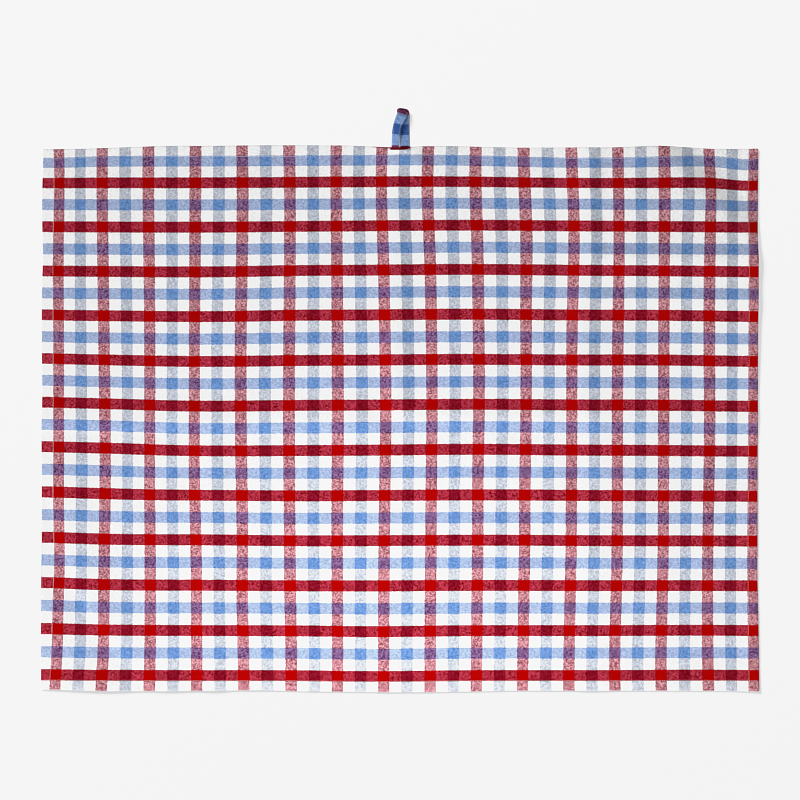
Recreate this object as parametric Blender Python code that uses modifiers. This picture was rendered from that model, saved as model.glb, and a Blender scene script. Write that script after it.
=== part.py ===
"""A checked cotton tea towel that lies flat and face up, with its hanging loop.

Metres, +Z up, +X along the long side, +Y towards the loop. The origin is on the surface that the towel
lies on, under the middle of towel and loop together. The towel is one sheet with its hems. It was kept
folded in four each way, so its creases stand as low rounded ridges, and two corners lie in soft folds.
"""

import math
from collections import namedtuple

import bmesh
import bpy

# The cloth
TOWEL_WIDTH = 0.660
TOWEL_HEIGHT = 0.500
TOWEL_CENTRE_Y = -0.0175
CLOTH_THICKNESS = 0.0012
HEM_THICKNESS = 0.0020
HEM_WIDTH = 0.0100
HEM_ROLL = 0.0012  # how far in the folded edge is rounded
ROLL_SHARE = 0.3  # of the hem's thickness, taken off above and below at the very edge
HEM_DROP = 0.0008  # over this width the underside steps up from the hem to the single cloth
HEM_EASE = 0.0150  # past the hem, the cloth takes this far to come down to the surface
EDGE_EASE = 0.120  # how far in from an edge its waves die out

# The hanging loop
LOOP_WIDTH = 0.0085
LOOP_THICKNESS = 0.0013
LOOP_GAP = 0.0048  # clear height inside the bend, where a hook goes
LOOP_TOP_Y = 0.2863  # from the towel's centre
LOOP_TUCK_Y = 0.2405  # where both ends stop, under the hem
LOOP_LIFT_Y = 0.2470  # where the front leg starts to rise
FRONT_FOOT_X = -0.0039
FRONT_HEAD_X = 0.0017
FRONT_BOW = 1.8  # over 1, the front leg leans more towards its head
BACK_FOOT_X = 0.0055
BACK_HEAD_X = 0.0049
LEG_STEPS = 12
BEND_STEPS = 10
PIECE_GAP = 0.0003  # between the loop's ends and the hem over them

# The mesh
LINE_SPACING = 0.0145
LEAST_SPACING = 0.0060
CREASE_LINES = (0.0, 0.5, 1.0)  # on each side of a crease, in shares of its reach

# How far an edge bulges out (+) or dips in (-), each a soft wave about one place along that edge.
Wave = namedtuple("Wave", "side along spread bulge")
EDGE_WAVES = (
    Wave("top", -0.300, 0.036, -0.0026),
    Wave("top", -0.104, 0.044, 0.0021),
    Wave("top", -0.004, 0.016, -0.0030),
    Wave("top", 0.055, 0.030, 0.0012),
    Wave("top", 0.140, 0.050, -0.0008),
    Wave("top", 0.245, 0.014, 0.0011),
    Wave("top", 0.300, 0.040, -0.0018),
    Wave("bottom", -0.318, 0.018, -0.0009),
    Wave("bottom", -0.145, 0.030, -0.0007),
    Wave("bottom", -0.015, 0.038, 0.0013),
    Wave("bottom", 0.116, 0.022, -0.0008),
    Wave("left", 0.250, 0.150, -0.0010),
    Wave("left", -0.250, 0.150, 0.0010),
    Wave("right", -0.250, 0.080, 0.0012),
)

# Straight creases from folding, each a rounded ridge. "x" creases run along X at one y, "y" creases along
# Y at one x. Each has its height, and how far it reaches before its line and after it.
Crease = namedtuple("Crease", "runs at start end height before after")
CREASES = (
    Crease("x", -0.0020, -0.340, -0.025, 0.0017, 0.014, 0.030),
    Crease("x", 0.0015, 0.005, 0.178, 0.0017, 0.014, 0.018),
    Crease("x", 0.0015, 0.178, 0.340, 0.0010, 0.014, 0.018),
    Crease("x", 0.1480, 0.172, 0.340, 0.0015, 0.022, 0.015),
    Crease("x", 0.1105, 0.172, 0.340, 0.0009, 0.018, 0.012),
    Crease("x", -0.1280, 0.160, 0.245, 0.0008, 0.013, 0.013),
    Crease("x", -0.1285, -0.060, -0.006, 0.0011, 0.011, 0.018),
    Crease("y", -0.0020, 0.125, 0.260, 0.0012, 0.024, 0.013),
    Crease("y", -0.0030, 0.000, 0.125, 0.0018, 0.020, 0.018),
    Crease("y", -0.0150, -0.115, 0.000, 0.0007, 0.024, 0.012),
    Crease("y", -0.0125, -0.260, -0.115, 0.0004, 0.020, 0.010),
    Crease("y", 0.1755, 0.125, 0.260, 0.0015, 0.024, 0.013),
    Crease("y", 0.1705, 0.000, 0.125, 0.0014, 0.022, 0.015),
    Crease("y", 0.1500, -0.115, 0.000, 0.0006, 0.030, 0.012),
    Crease("y", 0.1755, -0.115, 0.000, 0.0006, 0.013, 0.035),
    Crease("y", 0.1730, -0.260, -0.115, 0.0007, 0.016, 0.034),
    Crease("y", -0.1950, 0.000, 0.260, 0.0007, 0.036, 0.012),
    Crease("y", -0.1605, 0.000, 0.260, 0.0007, 0.022, 0.040),
    Crease("y", -0.1755, -0.120, 0.000, 0.0013, 0.018, 0.030),
    Crease("y", -0.1735, -0.260, -0.120, 0.0015, 0.018, 0.028),
    Crease("y", -0.1395, -0.260, -0.125, 0.0006, 0.012, 0.030),
    Crease("y", 0.2805, -0.140, -0.015, 0.0007, 0.016, 0.009),
)
CREASE_FADE = 0.030  # a crease that stops inside the towel dies out over this length

# Soft folds that follow a curve through three points: the height on the curve, and how far they spread
# on the left and on the right of someone who walks it from start to end.
Fold = namedtuple("Fold", "place start middle end height left right")
FOLDS = (
    Fold("top right corner", (0.215, 0.262), (0.284, 0.200), (0.342, 0.135), 0.0032, 0.030, 0.150),
    Fold("lower left corner", (-0.318, -0.050), (-0.286, -0.163), (-0.212, -0.256), 0.0010, 0.036, 0.012),
    Fold("corner outside it", (-0.345, -0.095), (-0.318, -0.188), (-0.250, -0.268), 0.0015, 0.030, 0.060),
)
FOLD_STEPS = 8  # straight steps along each curve

# Where the hem is lifted over the ends of the loop.
POCKET_CENTRE_X = 0.0009
POCKET_HALF_X = 0.0125
POCKET_LOW_Y = 0.2370
POCKET_EASE = 0.0120

COTTON_COLOUR = (0.70, 0.55, 0.62, 1.0)
LOOP_COLOUR = (0.22, 0.33, 0.60, 1.0)
COTTON_ROUGHNESS = 0.9


def clear_scene():
    for old in list(bpy.data.objects):
        bpy.data.objects.remove(old, do_unlink=True)


def cotton(name, colour):
    material = bpy.data.materials.new(name)
    material.use_nodes = True
    shader = material.node_tree.nodes["Principled BSDF"]
    shader.inputs["Base Color"].default_value = colour
    shader.inputs["Roughness"].default_value = COTTON_ROUGHNESS
    shader.inputs["Metallic"].default_value = 0.0
    return material


def add_object(name, mesh_builder, collection, material):
    mesh = bpy.data.meshes.new(name)
    mesh_builder.to_mesh(mesh)
    mesh_builder.free()
    mesh.materials.append(material)
    made = bpy.data.objects.new(name, mesh)
    collection.objects.link(made)
    return made


def ease(share):
    """From 0 to 1 with soft ends."""
    share = min(1.0, max(0.0, share))
    return share * share * (3.0 - 2.0 * share)


def off_line(x, y, a, b):
    """How far a point is from the line between two others: positive on its left, negative on its right."""
    along_x, along_y = b[0] - a[0], b[1] - a[1]
    share = ((x - a[0]) * along_x + (y - a[1]) * along_y) / (along_x**2 + along_y**2)
    share = min(1.0, max(0.0, share))
    off = math.hypot(x - a[0] - share * along_x, y - a[1] - share * along_y)
    return math.copysign(off, along_x * (y - a[1]) - along_y * (x - a[0]))


def crease_height(x, y):
    total = 0.0
    for crease in CREASES:
        across, along = (y, x) if crease.runs == "x" else (x, y)
        from_start = ease((along - crease.start) / CREASE_FADE + 0.5)
        to_end = ease((crease.end - along) / CREASE_FADE + 0.5)
        off = across - crease.at
        share = off / crease.after if off > 0.0 else -off / crease.before
        total += crease.height * ease(1.0 - share) * from_start * to_end
    return total


def fold_curve(fold):
    """Points along the curve from a fold's start through its middle to its end."""
    points = []
    for i in range(FOLD_STEPS + 1):
        t = i / FOLD_STEPS
        shares = ((1 - t) * (1 - 2 * t), 4 * t * (1 - t), t * (2 * t - 1))
        corners = (fold.start, fold.middle, fold.end)
        x = sum(share * corner[0] for share, corner in zip(shares, corners))
        y = sum(share * corner[1] for share, corner in zip(shares, corners))
        points.append((x, y))
    return points


FOLD_CURVES = [fold_curve(fold) for fold in FOLDS]


def fold_height(x, y):
    total = 0.0
    for fold, curve in zip(FOLDS, FOLD_CURVES):
        off = min((off_line(x, y, a, b) for a, b in zip(curve, curve[1:])), key=abs)
        spread = fold.left if off > 0.0 else fold.right
        total += fold.height * ease(1.0 - abs(off) / spread)
    return total


def pocket_height(x, y):
    """The hem's lift over the loop's two ends: full over them, easing off round about."""
    past_x = abs(x - POCKET_CENTRE_X) - POCKET_HALF_X
    past_y = POCKET_LOW_Y - y
    lift = LOOP_THICKNESS + PIECE_GAP
    return lift * ease(1.0 - past_x / POCKET_EASE) * ease(1.0 - past_y / POCKET_EASE)


def edge_shift(x, y):
    """How far a point of the flat cloth moves because the edges aren't straight."""
    gap = {
        "top": TOWEL_HEIGHT / 2 - y,
        "bottom": TOWEL_HEIGHT / 2 + y,
        "left": TOWEL_WIDTH / 2 + x,
        "right": TOWEL_WIDTH / 2 - x,
    }
    outward = {"top": (0, 1), "bottom": (0, -1), "left": (-1, 0), "right": (1, 0)}
    shift_x, shift_y = 0.0, 0.0
    for wave in EDGE_WAVES:
        along = x if wave.side in ("top", "bottom") else y
        size = wave.bulge * math.exp(-(((along - wave.along) / wave.spread) ** 2))
        size *= ease(1.0 - gap[wave.side] / EDGE_EASE)
        shift_x += size * outward[wave.side][0]
        shift_y += size * outward[wave.side][1]
    return shift_x, shift_y


def edge_distance(x, y):
    return min(TOWEL_WIDTH / 2 - abs(x), TOWEL_HEIGHT / 2 - abs(y))


def underside_height(x, y):
    """The turned hem lies on the surface, and the single cloth starts one step higher and comes down."""
    in_from_edge = edge_distance(x, y)
    step = HEM_THICKNESS - CLOTH_THICKNESS
    if in_from_edge < HEM_ROLL / 2:
        return HEM_THICKNESS * ROLL_SHARE
    if in_from_edge <= HEM_WIDTH:
        return 0.0
    return step * ease(1.0 - (in_from_edge - HEM_WIDTH) / HEM_EASE)


def topside_height(x, y):
    """The face runs level over the hem, then comes down with the single cloth."""
    in_from_edge = edge_distance(x, y)
    step = HEM_THICKNESS - CLOTH_THICKNESS
    if in_from_edge < HEM_ROLL / 2:
        return HEM_THICKNESS * (1.0 - ROLL_SHARE)
    return CLOTH_THICKNESS + step * ease(1.0 - (in_from_edge - HEM_WIDTH) / HEM_EASE)


def grid_lines(size, kept, creases):
    """The lines of the mesh across one side: the kept ones, the hem, the creases, then the rest.

    A crease is its place, and how far it reaches before and after it.
    """
    half = size / 2
    placed = list(kept)
    for inset in (HEM_ROLL, HEM_WIDTH, HEM_WIDTH + HEM_DROP, HEM_WIDTH + HEM_EASE):
        placed += [half - inset, inset - half]
    wanted = []
    for share in CREASE_LINES:
        for at, before, after in creases:
            wanted += [at - share * before, at + share * after]
    steps = round(size / LINE_SPACING)
    wanted += [size * i / steps - half for i in range(1, steps)]
    for line in wanted:
        if min(abs(line - other) for other in placed) > LEAST_SPACING:
            placed.append(line)
    return sorted(placed)


def make_towel(collection):
    """One sheet: a rectangle cut along the lines of its mesh, extruded once, then laid in its folds."""
    sheet = bmesh.new()
    bmesh.ops.create_grid(sheet, x_segments=1, y_segments=1, size=0.5)
    bmesh.ops.scale(sheet, vec=(TOWEL_WIDTH, TOWEL_HEIGHT, 1.0), verts=sheet.verts)
    upright = [(c.at, c.before, c.after) for c in CREASES if c.runs == "y"]
    level = [(c.at, c.before, c.after) for c in CREASES if c.runs == "x"]
    pocket_sides = (POCKET_CENTRE_X - POCKET_HALF_X, POCKET_CENTRE_X, POCKET_CENTRE_X + POCKET_HALF_X)
    cuts = (
        (grid_lines(TOWEL_WIDTH, pocket_sides, upright), (1, 0, 0)),
        (grid_lines(TOWEL_HEIGHT, (), level), (0, 1, 0)),
    )
    for lines, normal in cuts:
        for line in lines:
            everything = sheet.verts[:] + sheet.edges[:] + sheet.faces[:]
            place = [line * part for part in normal]
            bmesh.ops.bisect_plane(sheet, geom=everything, plane_co=place, plane_no=normal)
    under = sheet.verts[:]
    raised = bmesh.ops.extrude_face_region(sheet, geom=sheet.faces[:], use_keep_orig=True)
    over = set(v for v in raised["geom"] if isinstance(v, bmesh.types.BMVert))
    for vert in under + list(over):
        x, y = vert.co.x, vert.co.y
        layer = topside_height(x, y) if vert in over else underside_height(x, y)
        lift = max(crease_height(x, y) + fold_height(x, y), pocket_height(x, y))
        shift_x, shift_y = edge_shift(x, y)
        vert.co = (x + shift_x, y + shift_y + TOWEL_CENTRE_Y, layer + lift)
    bmesh.ops.recalc_face_normals(sheet, faces=sheet.faces)
    bmesh.ops.triangulate(sheet, faces=sheet.faces)
    return add_object("towel", sheet, collection, cotton("woven check cotton", COTTON_COLOUR))


def loop_path():
    """The middle line of the strip, as (x, y, z) from its back end round the bend to its front end."""
    low = LOOP_THICKNESS / 2
    bend = (LOOP_GAP + LOOP_THICKNESS) / 2
    bend_y = LOOP_TOP_Y - bend - LOOP_THICKNESS / 2
    path = []
    for i in range(LEG_STEPS):
        share = i / LEG_STEPS
        y = LOOP_TUCK_Y + share * (bend_y - LOOP_TUCK_Y)
        path.append((BACK_FOOT_X + share * (BACK_HEAD_X - BACK_FOOT_X), y, low))
    for i in range(BEND_STEPS + 1):
        share = i / BEND_STEPS
        x = BACK_HEAD_X + ease(share) * (FRONT_HEAD_X - BACK_HEAD_X)
        turn = math.pi * share
        path.append((x, bend_y + bend * math.sin(turn), low + bend * (1.0 - math.cos(turn))))
    for i in range(1, LEG_STEPS + 1):
        share = 1.0 - i / LEG_STEPS
        y = LOOP_LIFT_Y + share * (bend_y - LOOP_LIFT_Y)
        x = FRONT_FOOT_X + share**FRONT_BOW * (FRONT_HEAD_X - FRONT_FOOT_X)
        path.append((x, y, low + 2.0 * bend * math.sin(share * math.pi / 2)))
    path.append((FRONT_FOOT_X, LOOP_TUCK_Y, low))
    return path


def make_loop(collection):
    """The strip's middle line, drawn out to its width and given its thickness."""
    strip = bmesh.new()
    line = [strip.verts.new((x - LOOP_WIDTH / 2, y, z)) for x, y, z in loop_path()]
    edges = [strip.edges.new(pair) for pair in zip(line, line[1:])]
    drawn = bmesh.ops.extrude_edge_only(strip, edges=edges)
    far_side = [v for v in drawn["geom"] if isinstance(v, bmesh.types.BMVert)]
    bmesh.ops.translate(strip, vec=(LOOP_WIDTH, 0, 0), verts=far_side)
    bmesh.ops.translate(strip, vec=(0, TOWEL_CENTRE_Y, 0), verts=strip.verts)
    bmesh.ops.recalc_face_normals(strip, faces=strip.faces)
    made = add_object("hanging_loop", strip, collection, cotton("folded check strip", LOOP_COLOUR))
    thicken = made.modifiers.new("strip thickness", "SOLIDIFY")
    thicken.thickness = LOOP_THICKNESS
    thicken.offset = 0.0
    return made


def main():
    clear_scene()
    parts = bpy.data.collections.new("tea_towel")
    bpy.context.scene.collection.children.link(parts)
    make_towel(parts)
    make_loop(parts)


main()
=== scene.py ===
# %% [markdown]
# # A checked cotton tea towel, spread out flat
#
# The towel is one cut length of plain-woven cotton. Its coloured threads make the check: red, white and
# blue stripes run up the cloth in the warp and across it in the weft, and every crossing shows a mix of
# the two threads that meet there. All four edges are hemmed, and a narrow strip of the same cloth is
# sewn under the top hem as a hanging loop.
#
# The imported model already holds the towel's size, folds and loop. This script loads it as a fixed frame
# and lays finer pieces over it: a thin cloth, the loop, and the sewing.

import math
from collections import namedtuple

import bmesh
import bpy
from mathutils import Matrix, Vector, noise


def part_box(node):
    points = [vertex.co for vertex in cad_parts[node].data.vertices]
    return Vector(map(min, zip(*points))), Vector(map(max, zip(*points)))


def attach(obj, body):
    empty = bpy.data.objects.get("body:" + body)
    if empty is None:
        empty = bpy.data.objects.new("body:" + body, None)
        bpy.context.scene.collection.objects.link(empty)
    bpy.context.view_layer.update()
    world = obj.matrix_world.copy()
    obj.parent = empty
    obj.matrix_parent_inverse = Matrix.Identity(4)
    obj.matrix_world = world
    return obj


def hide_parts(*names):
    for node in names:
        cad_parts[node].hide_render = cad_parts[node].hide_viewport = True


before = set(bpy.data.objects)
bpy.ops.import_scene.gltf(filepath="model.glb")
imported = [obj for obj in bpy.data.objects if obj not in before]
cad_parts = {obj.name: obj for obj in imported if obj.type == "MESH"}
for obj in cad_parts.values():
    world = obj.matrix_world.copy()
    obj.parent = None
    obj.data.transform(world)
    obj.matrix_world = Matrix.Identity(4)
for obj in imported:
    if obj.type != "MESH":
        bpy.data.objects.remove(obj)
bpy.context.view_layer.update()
MM = 0.001
towel_low, towel_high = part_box("towel")
print("towel solid, mm:", [round(side / MM, 1) for side in towel_high - towel_low])

# %% [markdown]
# ## Camera
#
# The photograph looks straight down on the cloth from far away. A long lens three and a half metres up
# keeps the outline as square as that, and still shows the loop and the hems in true perspective.

# %% Camera
FRAME_WIDTH = 737.4 * MM
CAMERA_HEIGHT = 3.5
SENSOR = 36.0
AIM = (0.1 * MM, 0.1 * MM)

scene = bpy.context.scene
camera_data = bpy.data.cameras.new("camera")
camera_data.sensor_width = SENSOR
camera_data.lens = SENSOR * CAMERA_HEIGHT / FRAME_WIDTH
camera_data.clip_start = 0.1
camera_data.clip_end = 20.0
camera = bpy.data.objects.new("camera", camera_data)
camera.location = (AIM[0], AIM[1], CAMERA_HEIGHT)
scene.collection.objects.link(camera)
scene.camera = camera
print("lens, mm:", round(camera_data.lens, 1))

# %% [markdown]
# ## Helpers for materials
#
# Colours are written as the hex values that a designer would note down, and Blender mixes light in
# linear values, so one function turns one into the other. A second one adds a node: it takes the node's
# settings by name, and its inputs in order, each a number, a colour, or the node that feeds it.


# %% Colours and nodes
def linear(hex_colour):
    """The linear colour of an sRGB hex value."""
    channels = [int(hex_colour[i : i + 2], 16) / 255 for i in (0, 2, 4)]
    return tuple(c / 12.92 if c <= 0.04045 else ((c + 0.055) / 1.055) ** 2.4 for c in channels) + (1.0,)


def add_node(tree, kind, inputs=(), **settings):
    """Adds a node, with a value, a socket or another node's first output for each input."""
    node = tree.nodes.new(kind)
    for name, value in settings.items():
        setattr(node, name, value)
    numbered = inputs.items() if isinstance(inputs, dict) else enumerate(inputs)
    for place, source in numbered:
        if isinstance(source, bpy.types.Node):
            source = next(output for output in source.outputs if output.enabled)
        if isinstance(source, bpy.types.NodeSocket):
            tree.links.new(source, node.inputs[place])
        elif source is not None:
            node.inputs[place].default_value = source
    return node


def new_material(name):
    """A named material, its node tree and its shader."""
    material = bpy.data.materials.new(name)
    material.use_nodes = True
    return material, material.node_tree, material.node_tree.nodes["Principled BSDF"]


# %% [markdown]
# ## The check, in threads
#
# A weaver writes a check as a list of thread colours. Here every stripe is twelve threads wide, and four
# stripes make one repeat: red, white, blue, white. A real tea towel has about twenty threads in a stripe
# this wide. Twelve are drawn, because finer ones would melt into an even tone at this distance.

# %% The check
WARP_BAND = 10.75 * MM
WEFT_BAND = 10.325 * MM
WARP_RED_AT = -316.0 * MM  # the middle of the first red stripe, from the towel's centre
WEFT_RED_AT = 218.0 * MM
THREADS_IN_BAND = 12
BANDS_IN_REPEAT = 4
warp_pitch = WARP_BAND / THREADS_IN_BAND
weft_pitch = WEFT_BAND / THREADS_IN_BAND
warp_start = WARP_RED_AT - WARP_BAND / 2
weft_start = WEFT_RED_AT + WEFT_BAND / 2  # the weft is counted from the top down
print("thread spacing, mm:", round(warp_pitch / MM, 3), round(weft_pitch / MM, 3))

# %% [markdown]
# ## Cloth colours
#
# The yarns are dyed before weaving. Where two threads of one colour cross, the cloth shows that colour
# pure. Where they differ, the look depends on which thread is uppermost and how thick it is there. So
# each crossing has two colours, one with the warp on top and one with the weft on top, and the cloth
# varies between them. In each chart a row is a colour of weft, and its three entries are what shows
# over a red, a white and a blue warp stripe. The strip of the hanging loop is four layers thick, so no
# light comes through it and its colours are fuller. It has its own, darker colours where the weft is blue,
# partly for its layers and partly as painted shade of the raised loop.

# %% Colour charts
WARP_UP = {
    "red": ("A70000", "BC3E56", "921632"),
    "white": ("883C49", "E1E1E1", "A3A7B1"),
    "blue": ("4F2353", "B0BEDA", "5078AC"),
}
WEFT_UP = {
    "red": ("A10000", "7A0000", "680000"),
    "white": ("D3A3AB", "F1F1F1", "CBCFD8"),
    "blue": ("94749F", "8D9CB8", "7A9DCA"),
}
# the strip's blue rows: fuller for its four layers, and darkened further as painted shade of the loop
STRIP_WARP_UP_FULLER_AND_SHADED = {**WARP_UP, "blue": ("5E1C48", "8EAAD2", "2A4E8C")}
STRIP_WEFT_UP_FULLER_AND_SHADED = {**WEFT_UP, "blue": ("90507A", "6684B4", "4468A4")}
STRIPE_ORDER = (0, 1, 2, 1)

# %% [markdown]
# ## The weave
#
# Plain weave passes each thread over one and under the next. The material finds the number of the warp
# and of the weft thread at each point from the cloth's own thread coordinates, looks up the stripe that
# each belongs to, and lets the upper thread show. Cotton yarn is uneven: thick places cover the other
# thread and thin ones let it through, which gives the short flecks along the threads. These lengths and
# thread spacings are real sizes. It is soft, dull cloth, so there is no gloss, and little sheen.

# %% Threads, slubs and neps
SLUB_LENGTH = 2.0 * MM
SLUB_STEP = 1.73  # sets neighbouring threads apart in the noise, so that they don't look alike
WEFT_SEED, WARP_SEED = 0.0, 7.3  # and these keep the two directions apart
NEP_SPACING = 17.0 * MM
NEP_SIZE = 1.2 * MM
NEP_SHARE = 0.12  # of the cells, have a knot


def stripe_ramp(tree, place, colours):
    """The colour of each stripe of the repeat, looked up by place, from 0 to 1 over one repeat."""
    node = add_node(tree, "ShaderNodeValToRGB", [place])
    node.color_ramp.interpolation = "CONSTANT"
    while len(node.color_ramp.elements) < BANDS_IN_REPEAT:
        node.color_ramp.elements.new(1.0)
    for number, which in enumerate(STRIPE_ORDER):
        node.color_ramp.elements[number].position = number / BANDS_IN_REPEAT
        node.color_ramp.elements[number].color = linear(colours[which])
    return node


def thread_counter(tree, along, start, pitch):
    """For one direction: the place in threads, the thread's number, and its place in the repeat."""
    moved = add_node(tree, "ShaderNodeMath", [along, start], operation="SUBTRACT")
    count = add_node(tree, "ShaderNodeMath", [moved, pitch], operation="DIVIDE")
    number = add_node(tree, "ShaderNodeMath", [count], operation="FLOOR")
    middle = add_node(tree, "ShaderNodeMath", [number, 0.5], operation="ADD")
    repeat = THREADS_IN_BAND * BANDS_IN_REPEAT
    share = add_node(tree, "ShaderNodeMath", [middle, repeat], operation="DIVIDE")
    place = add_node(tree, "ShaderNodeMath", [share], operation="FRACT")
    turn = add_node(tree, "ShaderNodeMath", [count, math.pi], operation="MULTIPLY")
    wave = add_node(tree, "ShaderNodeMath", [turn], operation="SINE")
    return number, place, wave


def slubs(tree, along, number, seed):
    """Thick and thin places along each thread, about 0."""
    run = add_node(tree, "ShaderNodeMath", [along, 1 / SLUB_LENGTH], operation="MULTIPLY")
    row = add_node(tree, "ShaderNodeMath", [number, SLUB_STEP], operation="MULTIPLY")
    where = add_node(tree, "ShaderNodeCombineXYZ", [run, row, seed])
    settings = {"Vector": where, "Scale": 1.0, "Detail": 2.0, "Roughness": 0.8}
    found = add_node(tree, "ShaderNodeTexNoise", settings)
    return add_node(tree, "ShaderNodeMath", [found, 0.5], operation="SUBTRACT")


def neps(tree, threads):
    """Tiny knots of tangled fibre: 1 on a knot, 0 elsewhere. Voronoi cells place them, here and there."""
    cells = {"Vector": threads, "Scale": 1 / NEP_SPACING}
    found = add_node(tree, "ShaderNodeTexVoronoi", cells, voronoi_dimensions="2D")
    near = add_node(tree, "ShaderNodeMath", [found, NEP_SIZE / 2 / NEP_SPACING], operation="LESS_THAN")
    dice = add_node(tree, "ShaderNodeSeparateColor", [found.outputs["Color"]])
    chosen = add_node(tree, "ShaderNodeMath", [dice, 1.0 - NEP_SHARE], operation="GREATER_THAN")
    return add_node(tree, "ShaderNodeMath", [near, chosen], operation="MULTIPLY")


# %% Woven cotton
FLOAT_SHOWS = 0.14  # how far the upper thread sets the colour, by being on top
WEFT_SLUBS = 5.8
WARP_SLUBS = 0.9
WANDER_LENGTH = 1.2 * MM  # the threads aren't quite straight, so the stripes' edges are a little ragged
WANDER = 1.0 * MM
NEP_DARKENS = 0.3
THREAD_TONE = 0.05  # how much lighter a thick place is, by catching more light
THREAD_HEIGHT = 0.05 * MM
CRUMPLE_SIZE = 9.0 * MM
CRUMPLE_HEIGHT = 0.13 * MM


def crossing_colours(tree, chart, warp_place, weft_place):
    """What the chart says for the warp stripe and the weft stripe that meet here.

    Along the repeat the first stripe is red, and the third one is blue.
    """
    ramps = [stripe_ramp(tree, warp_place, chart[weft]) for weft in ("red", "white", "blue")]
    over_red, over_white, over_blue = ramps
    in_red = add_node(tree, "ShaderNodeMath", [weft_place, 1 / BANDS_IN_REPEAT], operation="LESS_THAN")
    blue_middle, blue_half = 2.5 / BANDS_IN_REPEAT, 0.5 / BANDS_IN_REPEAT
    in_blue = [weft_place, blue_middle, blue_half]
    in_blue = add_node(tree, "ShaderNodeMath", in_blue, operation="COMPARE")
    found = add_node(tree, "ShaderNodeMix", {0: in_red, 6: over_white, 7: over_red}, data_type="RGBA")
    return add_node(tree, "ShaderNodeMix", {0: in_blue, 6: found, 7: over_blue}, data_type="RGBA")


def woven_cotton(name, warp_chart, weft_chart):
    """Plain-woven check cotton on the UV map called threads, which is in metres of cloth."""
    material, tree, shader = new_material(name)
    straight = add_node(tree, "ShaderNodeUVMap", uv_map="threads")
    settings = {"Vector": straight, "Scale": 1 / WANDER_LENGTH}
    bends = add_node(tree, "ShaderNodeTexNoise", settings, noise_dimensions="2D")
    aside = [bends.outputs["Color"], (0.5, 0.5, 0.5)]
    aside = add_node(tree, "ShaderNodeVectorMath", aside, operation="SUBTRACT")
    threads = [aside, (WANDER, WANDER, 0.0), straight]
    threads = add_node(tree, "ShaderNodeVectorMath", threads, operation="MULTIPLY_ADD")
    across_up = add_node(tree, "ShaderNodeSeparateXYZ", [threads])
    across, up = across_up.outputs["X"], across_up.outputs["Y"]
    down = add_node(tree, "ShaderNodeMath", [up, -1.0], operation="MULTIPLY")
    warp_number, warp_place, warp_wave = thread_counter(tree, across, warp_start, warp_pitch)
    weft_number, weft_place, weft_wave = thread_counter(tree, down, -weft_start, weft_pitch)

    # Which thread shows: near 0 the warp, near 1 the weft.
    both = add_node(tree, "ShaderNodeMath", [warp_wave, weft_wave], operation="MULTIPLY")
    sign = add_node(tree, "ShaderNodeMath", [both], operation="SIGN")
    shows = add_node(tree, "ShaderNodeMath", [sign, -FLOAT_SHOWS, 0.5], operation="MULTIPLY_ADD")
    thick_weft = slubs(tree, across, weft_number, WEFT_SEED)
    thick_warp = slubs(tree, up, warp_number, WARP_SEED)
    shows = add_node(tree, "ShaderNodeMath", [thick_weft, WEFT_SLUBS, shows], operation="MULTIPLY_ADD")
    shows = add_node(tree, "ShaderNodeMath", [thick_warp, -WARP_SLUBS, shows], operation="MULTIPLY_ADD")
    shows = add_node(tree, "ShaderNodeClamp", [shows])
    warp_up = crossing_colours(tree, warp_chart, warp_place, weft_place)
    weft_up = crossing_colours(tree, weft_chart, warp_place, weft_place)
    colour = add_node(tree, "ShaderNodeMix", {0: shows, 6: warp_up, 7: weft_up}, data_type="RGBA")

    # Thick places catch more light, and a knot of fibre is darker.
    tone = add_node(tree, "ShaderNodeMath", [thick_weft, thick_warp], operation="ADD")
    tone = add_node(tree, "ShaderNodeMath", [tone, THREAD_TONE, 1.0], operation="MULTIPLY_ADD")
    knots = neps(tree, threads)
    tone = add_node(tree, "ShaderNodeMath", [knots, -NEP_DARKENS, tone], operation="MULTIPLY_ADD")
    colour = add_node(tree, "ShaderNodeVectorMath", {0: colour, "Scale": tone}, operation="SCALE")
    tree.links.new(colour.outputs[0], shader.inputs["Base Color"])

    # The threads' round backs, and a fine crumple that ironing leaves, as bump.
    warp_back = add_node(tree, "ShaderNodeMath", [warp_wave], operation="ABSOLUTE")
    weft_back = add_node(tree, "ShaderNodeMath", [weft_wave], operation="ABSOLUTE")
    height = add_node(tree, "ShaderNodeMath", [warp_back, weft_back], operation="ADD")
    settings = {"Vector": threads, "Scale": 1 / CRUMPLE_SIZE, "Detail": 2.0}
    crumple = add_node(tree, "ShaderNodeTexNoise", settings, noise_dimensions="2D")
    settings = {"Height": crumple, "Strength": 1.0, "Distance": CRUMPLE_HEIGHT}
    rumpled = add_node(tree, "ShaderNodeBump", settings)
    settings = {"Height": height, "Strength": 1.0, "Distance": THREAD_HEIGHT, "Normal": rumpled}
    bump = add_node(tree, "ShaderNodeBump", settings)
    tree.links.new(bump.outputs[0], shader.inputs["Normal"])
    shader.inputs["Roughness"].default_value = 0.95
    shader.inputs["Specular IOR Level"].default_value = 0.0
    shader.inputs["Sheen Weight"].default_value = 0.02
    shader.inputs["Sheen Roughness"].default_value = 0.6
    return material


check_cotton = woven_cotton("yarn-dyed plain-woven cotton", WARP_UP, WEFT_UP)
# the strip's copy of the cotton is darker in its blues, partly painted shade of the raised loop
strip_cotton_fuller_and_shaded = woven_cotton("folded strip of yarn-dyed cotton", STRIP_WARP_UP_FULLER_AND_SHADED, STRIP_WEFT_UP_FULLER_AND_SHADED)
print("nodes in the cotton:", len(check_cotton.node_tree.nodes))
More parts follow.
